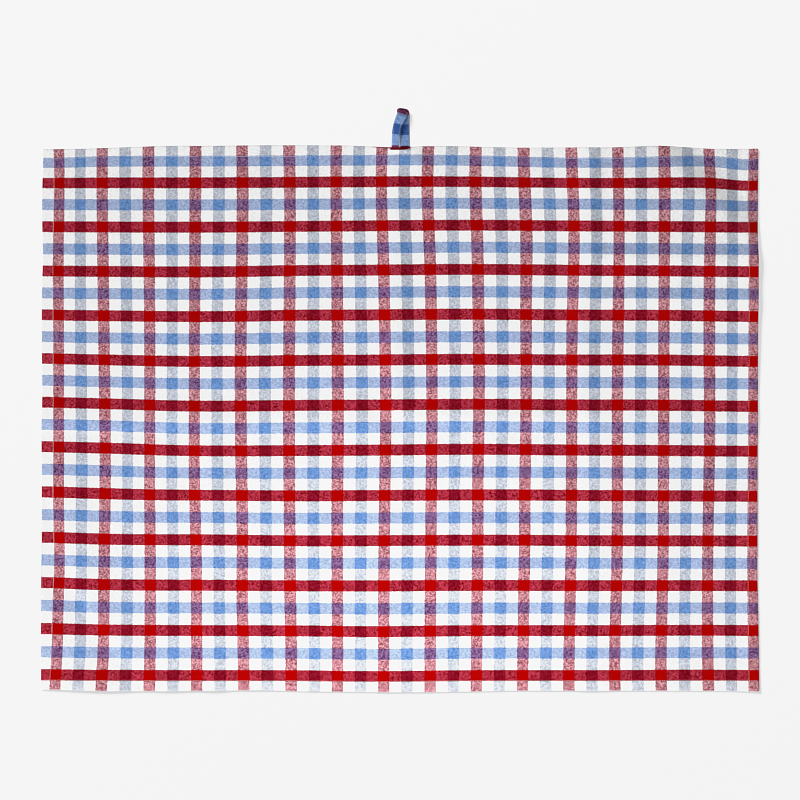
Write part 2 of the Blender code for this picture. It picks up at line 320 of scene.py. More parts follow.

# %% [markdown]
# ## How the cloth lies
#
# The towel was stored folded in four each way, and it still remembers it: low ridges and troughs stand
# along the old folds, and two corners lie in soft diagonal folds. The same named sizes as in the packed
# model place them here, with the true, thinner cloth. A cloth simulation would smooth the folds away, so
# they are listed one by one.

# %% Cloth sizes
TOWEL_WIDTH = 660 * MM
TOWEL_HEIGHT = 500 * MM
TOWEL_CENTRE_Y = -17.5 * MM
CLOTH_THICKNESS = 0.45 * MM
HEM_THICKNESS = 0.8 * MM
HEM_WIDTH = 10.0 * MM
HEM_ROLL = 0.45 * MM  # how far in the folded edge is round
HEM_DROP = 0.6 * MM
HEM_EASE = 9.0 * MM
EDGE_EASE = 120 * MM

# Along each side, the place and how far the edge stands out there, in mm.
EDGES = {
    "top": (
        (-330, -1.3), (-300, -0.9), (-270, -0.1), (-225, 1.6), (-203, 2.0), (-181, 1.8), (-136, 2.3),
        (-92, 2.4), (-48, 2.2), (-26, 1.3), (-4, 0.3), (18, 1.4), (40, 1.9), (62, 1.3), (107, 0.2),
        (195, 0.2), (217, 1.0), (240, 2.0), (262, 0.7), (284, -0.8), (306, -0.9), (330, -0.7),
    ),
    "bottom": (
        (-330, -0.9), (-310, -0.8), (-270, 0.3), (-225, 0.4), (-180, 0.0), (-136, -0.6), (-92, 0.5),
        (-48, 1.0), (-4, 1.4), (40, 1.2), (63, 0.8), (107, 0.0), (240, 0.0), (284, 0.1), (330, 0.8),
    ),
    "left": (
        (-250, 0.8), (-186, 0.9), (-150, 0.6), (-119, 0.1), (-60, 0.2), (-9, 0.4), (13, -0.3),
        (40, -0.1), (90, 0.3), (124, -0.1), (146, -0.9), (190, -0.1), (212, -0.3), (250, -1.3),
    ),
    "right": (
        (-250, 1.1), (-235, 1.2), (-208, 0.8), (-164, 0.0), (-141, -0.7), (-119, -0.4), (-40, -0.4),
        (0, 0.0), (80, -0.1), (124, 0.4), (146, 0.3), (168, -0.4), (212, 0.0), (250, 0.3),
    ),
}  # fmt: skip
EDGE_SOFT = 6 * MM

Crease = namedtuple("Crease", "runs at start end height before after")
CREASES = (
    Crease("x", -0.0020, -0.340, -0.025, 0.0017, 0.014, 0.030),
    Crease("x", 0.0015, 0.005, 0.178, 0.0017, 0.014, 0.018),
    Crease("x", 0.0015, 0.178, 0.340, 0.0010, 0.014, 0.018),
    Crease("x", 0.1480, 0.172, 0.340, 0.0015, 0.022, 0.015),
    Crease("x", 0.1105, 0.172, 0.340, 0.0009, 0.018, 0.012),
    Crease("x", -0.1280, 0.160, 0.245, 0.0008, 0.013, 0.013),
    Crease("x", -0.1285, -0.060, -0.006, 0.0011, 0.011, 0.018),
    Crease("y", -0.0020, 0.125, 0.260, 0.0012, 0.024, 0.013),
    Crease("y", -0.0030, 0.000, 0.125, 0.0018, 0.020, 0.018),
    Crease("y", -0.0150, -0.115, 0.000, 0.0007, 0.024, 0.012),
    Crease("y", -0.0125, -0.260, -0.115, 0.0004, 0.020, 0.010),
    Crease("y", 0.1755, 0.125, 0.260, 0.0015, 0.024, 0.013),
    Crease("y", 0.1705, 0.000, 0.125, 0.0014, 0.022, 0.015),
    Crease("y", 0.1500, -0.115, 0.000, 0.0006, 0.030, 0.012),
    Crease("y", 0.1755, -0.115, 0.000, 0.0006, 0.013, 0.035),
    Crease("y", 0.1730, -0.260, -0.115, 0.0007, 0.016, 0.034),
    Crease("y", -0.1950, 0.000, 0.260, 0.0007, 0.036, 0.012),
    Crease("y", -0.1605, 0.000, 0.260, 0.0007, 0.022, 0.040),
    Crease("y", -0.1755, -0.120, 0.000, 0.0013, 0.018, 0.030),
    Crease("y", -0.1735, -0.260, -0.120, 0.0015, 0.018, 0.028),
    Crease("y", -0.1395, -0.260, -0.125, 0.0006, 0.012, 0.030),
    Crease("y", 0.2805, -0.140, -0.015, 0.0007, 0.016, 0.009),
)
CREASE_FADE = 30 * MM

Fold = namedtuple("Fold", "place start middle end height left right")
FOLDS = (
    Fold("top right corner", (0.215, 0.262), (0.284, 0.200), (0.342, 0.135), 0.0032, 0.030, 0.150),
    Fold("lower left corner", (-0.318, -0.050), (-0.286, -0.163), (-0.212, -0.256), 0.0010, 0.036, 0.012),
    Fold("corner outside it", (-0.345, -0.095), (-0.318, -0.188), (-0.250, -0.268), 0.0015, 0.030, 0.060),
)
FOLD_STEPS = 12

Lift = namedtuple("Lift", "side height reach")
LIFTS = (
    Lift("top", 0.0004, 0.012),
    Lift("right", 0.0009, 0.022),
    Lift("bottom", 0.0008, 0.020),
)
FLAT_EASE = 35 * MM


# %% Heights
def ease(share):
    """From 0 to 1 with soft ends."""
    share = min(1.0, max(0.0, share))
    return share * share * (3.0 - 2.0 * share)


def off_line(x, y, a, b):
    """How far a point is from the line between two others: positive on its left."""
    along_x, along_y = b[0] - a[0], b[1] - a[1]
    share = ((x - a[0]) * along_x + (y - a[1]) * along_y) / (along_x**2 + along_y**2)
    share = min(1.0, max(0.0, share))
    off = math.hypot(x - a[0] - share * along_x, y - a[1] - share * along_y)
    return math.copysign(off, along_x * (y - a[1]) - along_y * (x - a[0]))


def crease_height(x, y):
    total = 0.0
    for crease in CREASES:
        across, along = (y, x) if crease.runs == "x" else (x, y)
        off = across - crease.at
        share = off / crease.after if off > 0.0 else -off / crease.before
        if share < 1.0:
            from_start = ease((along - crease.start) / CREASE_FADE + 0.5)
            to_end = ease((crease.end - along) / CREASE_FADE + 0.5)
            total += crease.height * ease(1.0 - share) * from_start * to_end
    return total


def fold_curve(fold):
    """Points along the curve from a fold's start through its middle to its end."""
    points = []
    for i in range(FOLD_STEPS + 1):
        t = i / FOLD_STEPS
        shares = ((1 - t) * (1 - 2 * t), 4 * t * (1 - t), t * (2 * t - 1))
        corners = (fold.start, fold.middle, fold.end)
        x = sum(share * corner[0] for share, corner in zip(shares, corners))
        y = sum(share * corner[1] for share, corner in zip(shares, corners))
        points.append((x, y))
    return points


fold_curves = [fold_curve(fold) for fold in FOLDS]


def fold_height(x, y):
    total = 0.0
    for fold, curve in zip(FOLDS, fold_curves):
        reach = max(fold.left, fold.right)
        low_x, low_y = (min(point[axis] for point in curve) - reach for axis in (0, 1))
        high_x, high_y = (max(point[axis] for point in curve) + reach for axis in (0, 1))
        if low_x < x < high_x and low_y < y < high_y:
            off = min((off_line(x, y, a, b) for a, b in zip(curve, curve[1:])), key=abs)
            spread = fold.left if off > 0.0 else fold.right
            total += fold.height * ease(1.0 - abs(off) / spread)
    return total


# %% [markdown]
# The loop's ends are sewn in under the top hem, which lifts the hem there by their thickness. The hem
# has also rolled a little to the face there, so a red stripe of the turned-in cloth shows at the edge.

# %% The pocket over the loop's ends
LOOP_THICKNESS = 1.3 * MM
PIECE_GAP = 0.3 * MM
POCKET_CENTRE_X = 0.9 * MM
POCKET_HALF_X = 12.5 * MM
POCKET_LOW_Y = 237 * MM
POCKET_EASE = 17 * MM
ROLL_CENTRE_X = -0.3 * MM
ROLL_HALF_X = 11.5 * MM
ROLL_TAPER = 5.0 * MM
ROLL_DEPTH = 2.9 * MM
ROLL_THIN = 0.75 * MM
ROLL_THIN_FROM = -26.0 * MM
ROLL_BULGE = 1.5 * MM
ROLL_TURN = 8.5 * MM  # the length of cloth that the roll skips
ROLL_SHARP = 0.8 * MM


def pocket_height(x, y):
    """The hem's lift over the loop's ends: full over them, easing off round about."""
    past_x = abs(x - POCKET_CENTRE_X) - POCKET_HALF_X
    past_y = POCKET_LOW_Y - y
    lift = LOOP_THICKNESS + PIECE_GAP
    return lift * ease(1.0 - past_x / POCKET_EASE) * ease(1.0 - past_y / POCKET_EASE)


def edge_gaps(x, y):
    """How far a point is from each edge of the towel."""
    return {
        "top": TOWEL_HEIGHT / 2 - y,
        "bottom": TOWEL_HEIGHT / 2 + y,
        "left": TOWEL_WIDTH / 2 + x,
        "right": TOWEL_WIDTH / 2 - x,
    }


def roll_depth(x):
    """How far in from the top edge the cloth that was turned under shows, at the loop's foot."""
    main = ROLL_DEPTH * ease((ROLL_HALF_X - abs(x - ROLL_CENTRE_X)) / ROLL_TAPER)
    thin = ROLL_THIN * ease((x - ROLL_THIN_FROM) / ROLL_TAPER) * ease(-x / ROLL_TAPER)
    return max(main, thin)


def edge_out(side, along):
    """How far the edge stands out at a place along a side: the table's line, with its bends softened."""
    total = 0.0
    for step, weight in ((-EDGE_SOFT, 0.25), (0.0, 0.5), (EDGE_SOFT, 0.25)):
        place = (along + step) / MM
        low = max((point for point in EDGES[side] if point[0] <= place), default=EDGES[side][0])
        high = min((point for point in EDGES[side] if point[0] > place), default=EDGES[side][-1])
        share = (place - low[0]) / (high[0] - low[0]) if high[0] > low[0] else 0.0
        total += weight * (low[1] + (high[1] - low[1]) * min(1.0, max(0.0, share))) * MM
    return total


def edge_shift(x, y):
    """How far a point of the flat cloth moves because the edges aren't straight."""
    gap = edge_gaps(x, y)
    outward = {"top": (0, 1), "bottom": (0, -1), "left": (-1, 0), "right": (1, 0)}
    shift_x, shift_y = 0.0, 0.0
    for side in EDGES:
        if gap[side] < EDGE_EASE:
            size = edge_out(side, x if side in ("top", "bottom") else y)
            size *= ease(1.0 - gap[side] / EDGE_EASE)
            shift_x += size * outward[side][0]
            shift_y += size * outward[side][1]
    return shift_x, shift_y


# %% [markdown]
# A soft cloth is never quite even between its folds, so a little smooth noise lifts it here and there by
# fractions of a millimetre.

# %% Laying a point of the cloth
UNEVEN = ((55 * MM, 0.5 * MM), (22 * MM, 0.16 * MM))  # the size of each kind of bump, and its height
FLAT_START = 0.2  # how far up its ease the unevenness starts, at the very edge


def uneven_height(x, y):
    """The noise, fading out towards the top and left edges, which lie pressed flat."""
    total = 0.0
    for size, height in UNEVEN:
        place = Vector((x / size, y / size, size / MM))
        total += height * (1.0 + noise.noise(place)) / 2
    gap = edge_gaps(x, y)
    return total * ease(FLAT_START + min(gap["top"], gap["left"]) / FLAT_EASE)


def edge_lift(x, y):
    """Three edges stand a little off the surface."""
    gap = edge_gaps(x, y)
    return sum(lift.height * ease(1.0 - gap[lift.side] / lift.reach) for lift in LIFTS)


def edge_distance(x, y):
    return min(edge_gaps(x, y).values())


def layer_height(x, y, is_face):
    """The height of the cloth's face or back over the surface, without its folds."""
    inside = edge_distance(x, y)
    step = HEM_THICKNESS - CLOTH_THICKNESS
    if inside < HEM_ROLL:
        short = 1.0 - max(0.0, inside) / HEM_ROLL
        round_off = HEM_THICKNESS / 2 * math.sqrt(1.0 - short**2)
        return HEM_THICKNESS / 2 + (round_off if is_face else -round_off)
    if is_face:
        rolled = ROLL_BULGE * roll_depth(x) / ROLL_DEPTH if y > 0.0 else 0.0
        rolled *= ease(1.0 - abs(inside - ROLL_DEPTH) / ROLL_DEPTH)
        top = CLOTH_THICKNESS + step * ease(1.0 - (inside - HEM_WIDTH) / HEM_EASE) + rolled
        return top - seam_groove(x, y)
    if inside <= HEM_WIDTH:
        return 0.0
    return step * ease(1.0 - (inside - HEM_WIDTH) / HEM_EASE)


def lay(x, y, is_face=True):
    """Where a point of the flat cloth ends up."""
    folds = crease_height(x, y) + fold_height(x, y) + edge_lift(x, y) + uneven_height(x, y)
    lift = max(folds, pocket_height(x, y), 0.0)
    shift_x, shift_y = edge_shift(x, y)
    return Vector((x + shift_x, y + shift_y + TOWEL_CENTRE_Y, layer_height(x, y, is_face) + lift))


# %% [markdown]
# ## How the threads wander
#
# Washing, sewing and handling pull a cloth out of square, so its stripes aren't straight. Each pull below
# moves the threads sideways or up around one place, as a hand would. The check follows, because the
# threads' own coordinates place it, and not the outline.

# %% Pulls on the threads
Pull = namedtuple("Pull", "place x y reach_x reach_y right up")
PULLS = (
    Pull("left edge", -332, 30, 28, 230, 2.0, 0.0),
    Pull("left edge, low", -322, -130, 28, 35, 1.5, 0.0),
    Pull("bottom left", -300, -250, 70, 28, -2.2, 0.0),
    Pull("top left corner", -320, 225, 25, 60, 2.3, 0.0),
    Pull("upper left", -240, 225, 75, 90, -1.8, 0.0),
    Pull("left quarter fold", -165, 60, 48, 110, -3.0, 0.0),
    Pull("left quarter fold, low", -185, -55, 48, 60, -1.6, 0.0),
    Pull("left of the quarter fold", -272, -35, 30, 90, 1.6, 0.0),
    Pull("low beside the quarter fold", -142, -165, 40, 50, -1.3, 0.0),
    Pull("left of the middle", -100, -10, 40, 110, -1.0, 0.0),
    Pull("beside the middle", -15, 10, 60, 100, 1.9, 0.0),
    Pull("under the loop", 15, 215, 65, 55, -2.7, 0.0),
    Pull("upper right", 150, 175, 60, 75, 3.6, 0.0),
    Pull("right of the middle", 105, 35, 60, 90, 2.3, 0.0),
    Pull("right edge", 337, 0, 28, 400, -3.8, 0.0),
    Pull("right edge, top", 345, 205, 28, 40, -2.0, 0.0),
    Pull("right side, low", 292, -130, 35, 90, -2.2, 0.0),
    Pull("right shoulder", 215, 100, 35, 70, 0.6, 0.0),
    Pull("right shoulder, outer", 280, 100, 22, 80, -1.0, 0.0),
    Pull("lower right", 230, -225, 75, 65, -2.4, 0.0),
    Pull("corner fold", 268, 215, 22, 45, 1.8, 0.0),
    Pull("bottom, left of the middle", -90, -220, 45, 70, 1.1, 0.0),
    Pull("bottom, right of the middle", 110, -250, 60, 40, -0.9, 0.0),
    Pull("low middle", 90, -115, 90, 45, 0.6, 0.0),
    Pull("low right of the middle", 155, -60, 50, 90, 0.7, 0.0),
    Pull("top hem, left of the middle", -125, 250, 45, 28, -1.1, 0.0),
    Pull("top hem, right of the middle", 115, 235, 55, 50, -1.0, 0.0),
    Pull("top hem, at the corner fold", 284, 250, 16, 28, -1.9, 0.0),
    Pull("left side rises", -350, -20, 100, 140, 0.0, 4.6),
    Pull("left side rises, low", -335, -165, 40, 60, 0.0, 1.4),
    Pull("top left hem sinks", -330, 250, 50, 25, 0.0, -3.4),
    Pull("top left, along the hem", -220, 250, 90, 35, 0.0, -0.8),
    Pull("upper middle rises", 60, 120, 140, 110, 0.0, 2.6),
    Pull("upper left of the middle", -95, 110, 50, 60, 0.0, 0.9),
    Pull("middle rises", 75, -25, 120, 70, 0.0, 1.5),
    Pull("left of the middle rises", -90, 0, 60, 50, 0.0, 0.6),
    Pull("left, under the long fold", -255, -15, 40, 40, 0.0, 0.7),
    Pull("right side rises", 240, 60, 70, 100, 0.0, 1.2),
    Pull("top hem sinks, right", 170, 252, 95, 32, 0.0, -3.9),
    Pull("top right corner sinks", 322, 235, 26, 35, 0.0, -4.2),
    Pull("bottom middle sinks", -20, -215, 60, 50, 0.0, -1.1),
    Pull("top hem sinks, left", -90, 262, 160, 25, 0.0, -1.6),
    Pull("low left rises", -180, -105, 60, 60, 0.0, 1.0),
    Pull("low middle rises", 75, -130, 110, 50, 0.0, 0.5),
    Pull("left, over the long fold", -300, 80, 30, 60, 0.0, -0.4),
    Pull("low right rises", 270, -200, 60, 60, 0.0, 0.4),
)


def thread_place(x, y):
    """The thread coordinates, in metres, of the cloth that lies at x and y from the towel's centre."""
    right, up = 0.0, 0.0
    for pull in PULLS:
        away_x = (x / MM - pull.x) / pull.reach_x
        away_y = (y / MM - pull.y) / pull.reach_y
        share = math.exp(-(away_x**2) - away_y**2)
        right += pull.right * share
        up += pull.up * share
    return x - right * MM, y - up * MM


# %% [markdown]
# The hem was folded along its threads, so its seam follows them too. On each side it runs in a coloured
# stripe, less than a millimetre from that stripe's edge. It pulls the hem in, which makes a shallow groove.

# %% Where the hem's seam runs
SEAM_THREADS = {
    "top": WEFT_RED_AT + 2.5 * WEFT_BAND - 0.8 * MM,
    "bottom": WEFT_RED_AT - 44.5 * WEFT_BAND + 0.5 * MM,
    "left": WARP_RED_AT - 0.5 * WARP_BAND + 0.2 * MM,
    "right": WARP_RED_AT + 59.5 * WARP_BAND + 0.7 * MM,
}
GROOVE_DEPTH = 0.07 * MM
GROOVE_HALF = 1.1 * MM
SEAM_ZONE = (HEM_WIDTH / 2, HEM_WIDTH * 1.4)  # how far in from an edge its seam can be


def seam_misses(x, y):
    """For each side, how far a point of the flat cloth is from the side's seam, along the threads."""
    shift_x, shift_y = edge_shift(x, y)
    across, up = thread_place(x + shift_x, y + shift_y)
    return {side: (up if side in ("top", "bottom") else across) - at for side, at in SEAM_THREADS.items()}


def seam_groove(x, y):
    """How deep the seam draws the cloth in, which it does beside its stitches only."""
    if not SEAM_ZONE[0] < edge_distance(x, y) < SEAM_ZONE[1]:
        return 0.0
    nearest = min(abs(miss) for miss in seam_misses(x, y).values())
    return GROOVE_DEPTH * ease(1.0 - nearest / GROOVE_HALF)


# %% [markdown]
# ## The cloth
#
# One rectangle is cut along the lines of its mesh, and extruded once to give it a face and a back. Then
# each point is laid in its place. The back of the hem shows the cloth that was turned under, so the
# thread coordinates there run on past the edge, mirrored.

# %% The cloth's mesh
MESH_STEP = 3.1 * MM
EDGE_LINES_MM = (
    0.08, 0.22, 0.45, 0.9, 1.6, 2.4, 3.2, 4.3, 5.5, 6.6, 7.3, 8.0, 8.7, 9.3, 10.0, 10.6, 11.3, 12.2
)  # fmt: skip
CROWDED = 0.45  # beside the hem, an even line nearer to another than this share of a step is left out


def even_lines(size):
    """The lines of the mesh across one side: close at the hem, and even between."""
    half = size / 2
    lines = [-half, half]
    for inset in EDGE_LINES_MM:
        lines += [half - inset * MM, inset * MM - half]
    steps = round(size / MESH_STEP)
    for i in range(1, steps):
        line = size * i / steps - half
        is_inner = abs(line) < half - 2 * HEM_WIDTH
        if is_inner or min(abs(line - other) for other in lines) > MESH_STEP * CROWDED:
            lines.append(line)
    return sorted(lines)


def hem_flap(x, y):
    """On the back of the hem, the place in the flat cloth that the turned-in cloth came from."""
    side, end = TOWEL_WIDTH / 2, TOWEL_HEIGHT / 2
    if side - abs(x) < HEM_WIDTH + HEM_DROP:
        x = math.copysign(2 * side, x) - x
    if end - abs(y) < HEM_WIDTH + HEM_DROP:
        y = math.copysign(2 * end, y) - y
    return x, y


def make_cloth():
    columns, rows = even_lines(TOWEL_WIDTH), even_lines(TOWEL_HEIGHT)
    cloth = bmesh.new()
    x_segments, y_segments = len(columns) - 1, len(rows) - 1
    bmesh.ops.create_grid(cloth, x_segments=x_segments, y_segments=y_segments, size=0.5)
    for vert in cloth.verts:
        column = round((vert.co.x + 0.5) * x_segments)
        row = round((vert.co.y + 0.5) * y_segments)
        vert.co = (columns[column], rows[row], 0.0)
    back_verts = cloth.verts[:]
    made = bmesh.ops.extrude_face_region(cloth, geom=cloth.faces[:], use_keep_orig=True)
    face_verts = set(v for v in made["geom"] if isinstance(v, bmesh.types.BMVert))
    threads = cloth.loops.layers.uv.new("threads")
    for face in cloth.faces:
        middle = face.calc_center_median()
        is_face = all(v in face_verts for v in face.verts)
        turned = edge_distance(middle.x, middle.y) < HEM_WIDTH + HEM_DROP and not is_face
        for loop in face.loops:
            x, y = loop.vert.co.x, loop.vert.co.y
            shift_x, shift_y = edge_shift(x, y)
            across, up = thread_place(x + shift_x, y + shift_y)
            if turned:
                flap_x, flap_y = hem_flap(x, y)
                across, up = across + flap_x - x, up + flap_y - y
            elif roll_depth(x) > 0.0:
                inset = TOWEL_HEIGHT / 2 - y
                up += ROLL_TURN * ease((roll_depth(x) - inset) / ROLL_SHARP + 0.5)
            loop[threads].uv = (across, up)
        face.smooth = True
    for vert in back_verts + list(face_verts):
        vert.co = lay(vert.co.x, vert.co.y, vert in face_verts)
    bmesh.ops.recalc_face_normals(cloth, faces=cloth.faces)
    mesh = bpy.data.meshes.new("towel_cloth")
    cloth.to_mesh(mesh)
    cloth.free()
    mesh.materials.append(check_cotton)
    made = bpy.data.objects.new("towel_cloth", mesh)
    scene.collection.objects.link(made)
    return made


towel_cloth = make_cloth()
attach(towel_cloth, "root")
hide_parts("towel")
print("cloth faces:", len(towel_cloth.data.polygons))

# %% [markdown]
# ## The hanging loop
#
# A narrow strip of the same cloth is folded in lengthwise, stitched along its edges, and bent over so that
# both ends lie under the hem. It was cut along a blue weft stripe, so the warp stripes cross it: light
# blue, blue, light blue, and purple over the bend. Its mesh is a flat grid that is laid along a path up
# the back leg, round the bend and down the front leg, then given its thickness, thinner at its edges.

# %% The loop's path
LOOP_GAP = 3.6 * MM
LOOP_TOP_Y = 286.3 * MM
LOOP_TUCK_Y = 240.5 * MM
LOOP_LIFT_Y = 247.0 * MM
FRONT_FOOT_X = -4.1 * MM
FRONT_HEAD_X = 1.8 * MM
FRONT_BOW = 3.4
BACK_FOOT_X = 4.9 * MM
BACK_HEAD_X = 4.0 * MM
LEG_STEPS = 24
BEND_STEPS = 18
WIDTH_STEPS = 10
EDGE_SHARE = 0.45  # of the strip's thickness, left at its edges
THIN_FROM = 0.72  # of the way from its middle to its edges, where it starts to thin
BACK_WIDTH = 8.8 * MM
BEND_WIDTH = 11.4 * MM
FRONT_WIDTH = 7.3 * MM
BEND_REACH = 6.0 * MM  # the bend is longer than it is high, because the strip is stiff with its layers
BEND_POINT = 1.3  # 2 would be round, and 1 a sharp fold
SHOULDER = 1.9 * MM  # how far the bend falls back towards the strip's edges
SHOULDER_REACH = 9.0 * MM
SHOULDER_POWER = 4  # a flat head with round corners, where 2 would be round all over
SPREAD_POWER = 4  # the strip widens close to the bend only
TURN_POWER = 1.7  # and turns towards its front leg mostly after the bend
strip_red = WARP_RED_AT - 0.3 * MM  # the warp stripe over the bend
strip_blue = WEFT_RED_AT - 2 * WEFT_BAND  # the weft stripe that the strip was cut along
STRIP_DRAWN_UP = 1.085  # the length of cloth in each length of strip, which its stitching puckers


def loop_path():
    """The middle line of the strip from its back end round the bend to its front end."""
    low = LOOP_THICKNESS / 2
    bend = (LOOP_GAP + LOOP_THICKNESS) / 2
    bend_y = LOOP_TOP_Y - BEND_REACH - LOOP_THICKNESS / 2
    path = []
    for i in range(LEG_STEPS):
        share = i / LEG_STEPS
        y = LOOP_TUCK_Y + share * (bend_y - LOOP_TUCK_Y)
        path.append(Vector((BACK_FOOT_X + share * (BACK_HEAD_X - BACK_FOOT_X), y, low)))
    for i in range(BEND_STEPS + 1):
        share = i / BEND_STEPS
        x = BACK_HEAD_X + ease(share) * (FRONT_HEAD_X - BACK_HEAD_X)
        turn = math.pi * share
        y = bend_y + BEND_REACH * (1.0 - abs(math.cos(turn)) ** BEND_POINT)
        path.append(Vector((x, y, low + bend * (1.0 - math.cos(turn)))))
    for i in range(1, LEG_STEPS + 1):
        share = 1.0 - i / LEG_STEPS
        y = LOOP_LIFT_Y + share * (bend_y - LOOP_LIFT_Y)
        x = FRONT_FOOT_X + share**FRONT_BOW * (FRONT_HEAD_X - FRONT_FOOT_X)
        path.append(Vector((x, y, low + 2.0 * bend * math.sin(share * math.pi / 2))))
    path.append(Vector((FRONT_FOOT_X, LOOP_TUCK_Y, low)))
    return path


strip_path = loop_path()
strip_runs = [0.0]
for here, there in zip(strip_path, strip_path[1:]):
    strip_runs.append(strip_runs[-1] + (there - here).length)
strip_length = strip_runs[-1]
bend_run = strip_runs[LEG_STEPS + BEND_STEPS // 2]
print("strip length, mm:", round(strip_length / MM, 1))


# %% A place on the strip
def strip_frame(run):
    """At a distance along the strip: its middle, the direction across it, and the way its face looks."""
    run = min(strip_length - 1e-6, max(0.0, run))
    row = next(i for i in range(len(strip_runs) - 1) if strip_runs[i + 1] > run)
    share = (run - strip_runs[row]) / (strip_runs[row + 1] - strip_runs[row])
    middle = strip_path[row].lerp(strip_path[row + 1], share)
    before, after = strip_path[max(0, row - 1)], strip_path[min(len(strip_path) - 1, row + 2)]
    along = (after - before).normalized()
    lean = after.x - before.x
    across = Vector((1.0, 0.0, 0.0))
    if row > LEG_STEPS + BEND_STEPS:
        across = Vector((-(after.y - before.y), lean, 0.0)).normalized()
    elif row > LEG_STEPS:
        head = strip_path[LEG_STEPS + BEND_STEPS + 3] - strip_path[LEG_STEPS + BEND_STEPS]
        turned = Vector((-head.y, head.x, 0.0)).normalized()
        across = across.lerp(turned, ((row - LEG_STEPS) / BEND_STEPS) ** TURN_POWER).normalized()
    return middle, across, across.cross(along).normalized()


def strip_width(run):
    """Spread out at the bend, and drawn together at the front foot."""
    foot = FRONT_WIDTH if run > bend_run else BACK_WIDTH
    nearness = max(0.0, 1.0 - abs(run - bend_run) / bend_run)
    return foot + (BEND_WIDTH - foot) * nearness**SPREAD_POWER


def strip_place(run, share):
    """A place on the strip's middle layer, share -0.5 to 0.5 of its width, with the bend's shoulders."""
    middle, across, up = strip_frame(run)
    place = middle + across * share * strip_width(run) + Vector((0, TOWEL_CENTRE_Y, 0))
    fall = SHOULDER * ease(1.0 - abs(run - bend_run) / SHOULDER_REACH)
    place.y -= fall * abs(2 * share) ** SHOULDER_POWER
    return place, up


# %% The strip
def make_loop():
    rows = len(strip_path) - 1
    strip = bmesh.new()
    bmesh.ops.create_grid(strip, x_segments=WIDTH_STEPS, y_segments=rows, size=0.5)
    threads = strip.loops.layers.uv.new("threads")
    places = {}
    for vert in strip.verts:
        share, row = vert.co.x, round((vert.co.y + 0.5) * rows)
        places[vert] = (share, strip_runs[row])
    for face in strip.faces:
        for loop in face.loops:
            share, run = places[loop.vert]
            across = strip_red + (run - bend_run) * STRIP_DRAWN_UP
            loop[threads].uv = (across, strip_blue + share * strip_width(run))
        face.smooth = True
    for vert, (share, run) in places.items():
        vert.co = strip_place(run, share)[0]
    bmesh.ops.recalc_face_normals(strip, faces=strip.faces)
    mesh = bpy.data.meshes.new("loop_strip")
    strip.to_mesh(mesh)
    made = bpy.data.objects.new("loop_strip", mesh)
    scene.collection.objects.link(made)
    group = made.vertex_groups.new(name="thickness")
    for vert in strip.verts:
        share = abs(places[vert][0]) * 2
        thinner = (1.0 - EDGE_SHARE) * ease((share - THIN_FROM) / (1.0 - THIN_FROM))
        group.add([vert.index], 1.0 - thinner, "REPLACE")
    strip.free()
    thicken = made.modifiers.new("strip thickness", "SOLIDIFY")
    thicken.thickness = LOOP_THICKNESS
    thicken.offset = 0.0
    thicken.vertex_group = "thickness"
    mesh.materials.append(strip_cotton_fuller_and_shaded)
    return made


loop_strip = make_loop()
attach(loop_strip, "root")
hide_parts("hanging_loop")

# %% [markdown]
# ## Sewing
#
# The hems and the strip are sewn with white cotton thread in a lockstitch, about twelve stitches in 25 mm.
# On both sides it shows as a row of short floats, each of which dips into the cloth at its ends. A thin
# tube is swept along the seam, and its radius and height follow the same few steps at every stitch.

# %% Thread
STITCH_PITCH = 2.15 * MM
THREAD_WIDTH = 0.32 * MM
PLY_SPACING = 0.5 * MM

# Along one stitch: the share of its length, the height in thread widths, and the share of full thickness.
FLOAT_SHAPE = ((0.22, -1.2, 0.5), (0.34, 0.15, 1.0), (0.58, 0.15, 1.0), (0.70, -1.2, 0.5))

thread_white, thread_tree, thread_shader = new_material("spun cotton sewing thread")
thread_place_node = add_node(thread_tree, "ShaderNodeTexCoord")
settings = {"Vector": thread_place_node.outputs["Object"], "Scale": 1 / PLY_SPACING}
plies = add_node(thread_tree, "ShaderNodeTexNoise", settings)
white = {0: plies, 6: linear("E6E6E8"), 7: linear("FAFAF8")}
yarn = add_node(thread_tree, "ShaderNodeMix", white, data_type="RGBA")
thread_tree.links.new(next(o for o in yarn.outputs if o.enabled), thread_shader.inputs["Base Color"])
twist = add_node(thread_tree, "ShaderNodeBump", {"Height": plies, "Strength": 0.6, "Distance": 0.1 * MM})
thread_tree.links.new(twist.outputs[0], thread_shader.inputs["Normal"])
thread_shader.inputs["Roughness"].default_value = 0.8
thread_shader.inputs["Specular IOR Level"].default_value = 0.1


def sew(name, rows):
    """A thread along each row of places, as a thin tube that dips into the cloth after every stitch."""
    sewing = bpy.data.curves.new(name, "CURVE")
    sewing.dimensions = "3D"
    sewing.bevel_depth = THREAD_WIDTH / 2
    sewing.bevel_resolution = 1
    sewing.use_fill_caps = True
    for places in rows:
        thread = sewing.splines.new("POLY")
        thread.points.add((len(places) - 1) * len(FLOAT_SHAPE) - 1)
        number = 0
        for (start, up), (end, _) in zip(places, places[1:]):
            for share, height, size in FLOAT_SHAPE:
                place = start.lerp(end, share) + up * height * THREAD_WIDTH
                thread.points[number].co = (*place, 1.0)
                thread.points[number].radius = size
                number += 1
    swept = bpy.data.objects.new(name + "_curve", sewing)
    scene.collection.objects.link(swept)
    mesh = bpy.data.meshes.new_from_object(swept)
    bpy.data.objects.remove(swept)
    mesh.name = name
    mesh.shade_smooth()
    mesh.materials.clear()
    mesh.materials.append(thread_white)
    made = bpy.data.objects.new(name, mesh)
    scene.collection.objects.link(made)
    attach(made, "root")
    return made


# %% [markdown]
# The hem's seam runs round all four sides and crosses at the corners. Each of its runs starts on a
# straight line, and is moved onto its threads by a few corrections.

# %% The hem's seam
SEAM_END = 1.5 * MM  # how far from the edge each run starts and stops
CORRECTIONS = 4


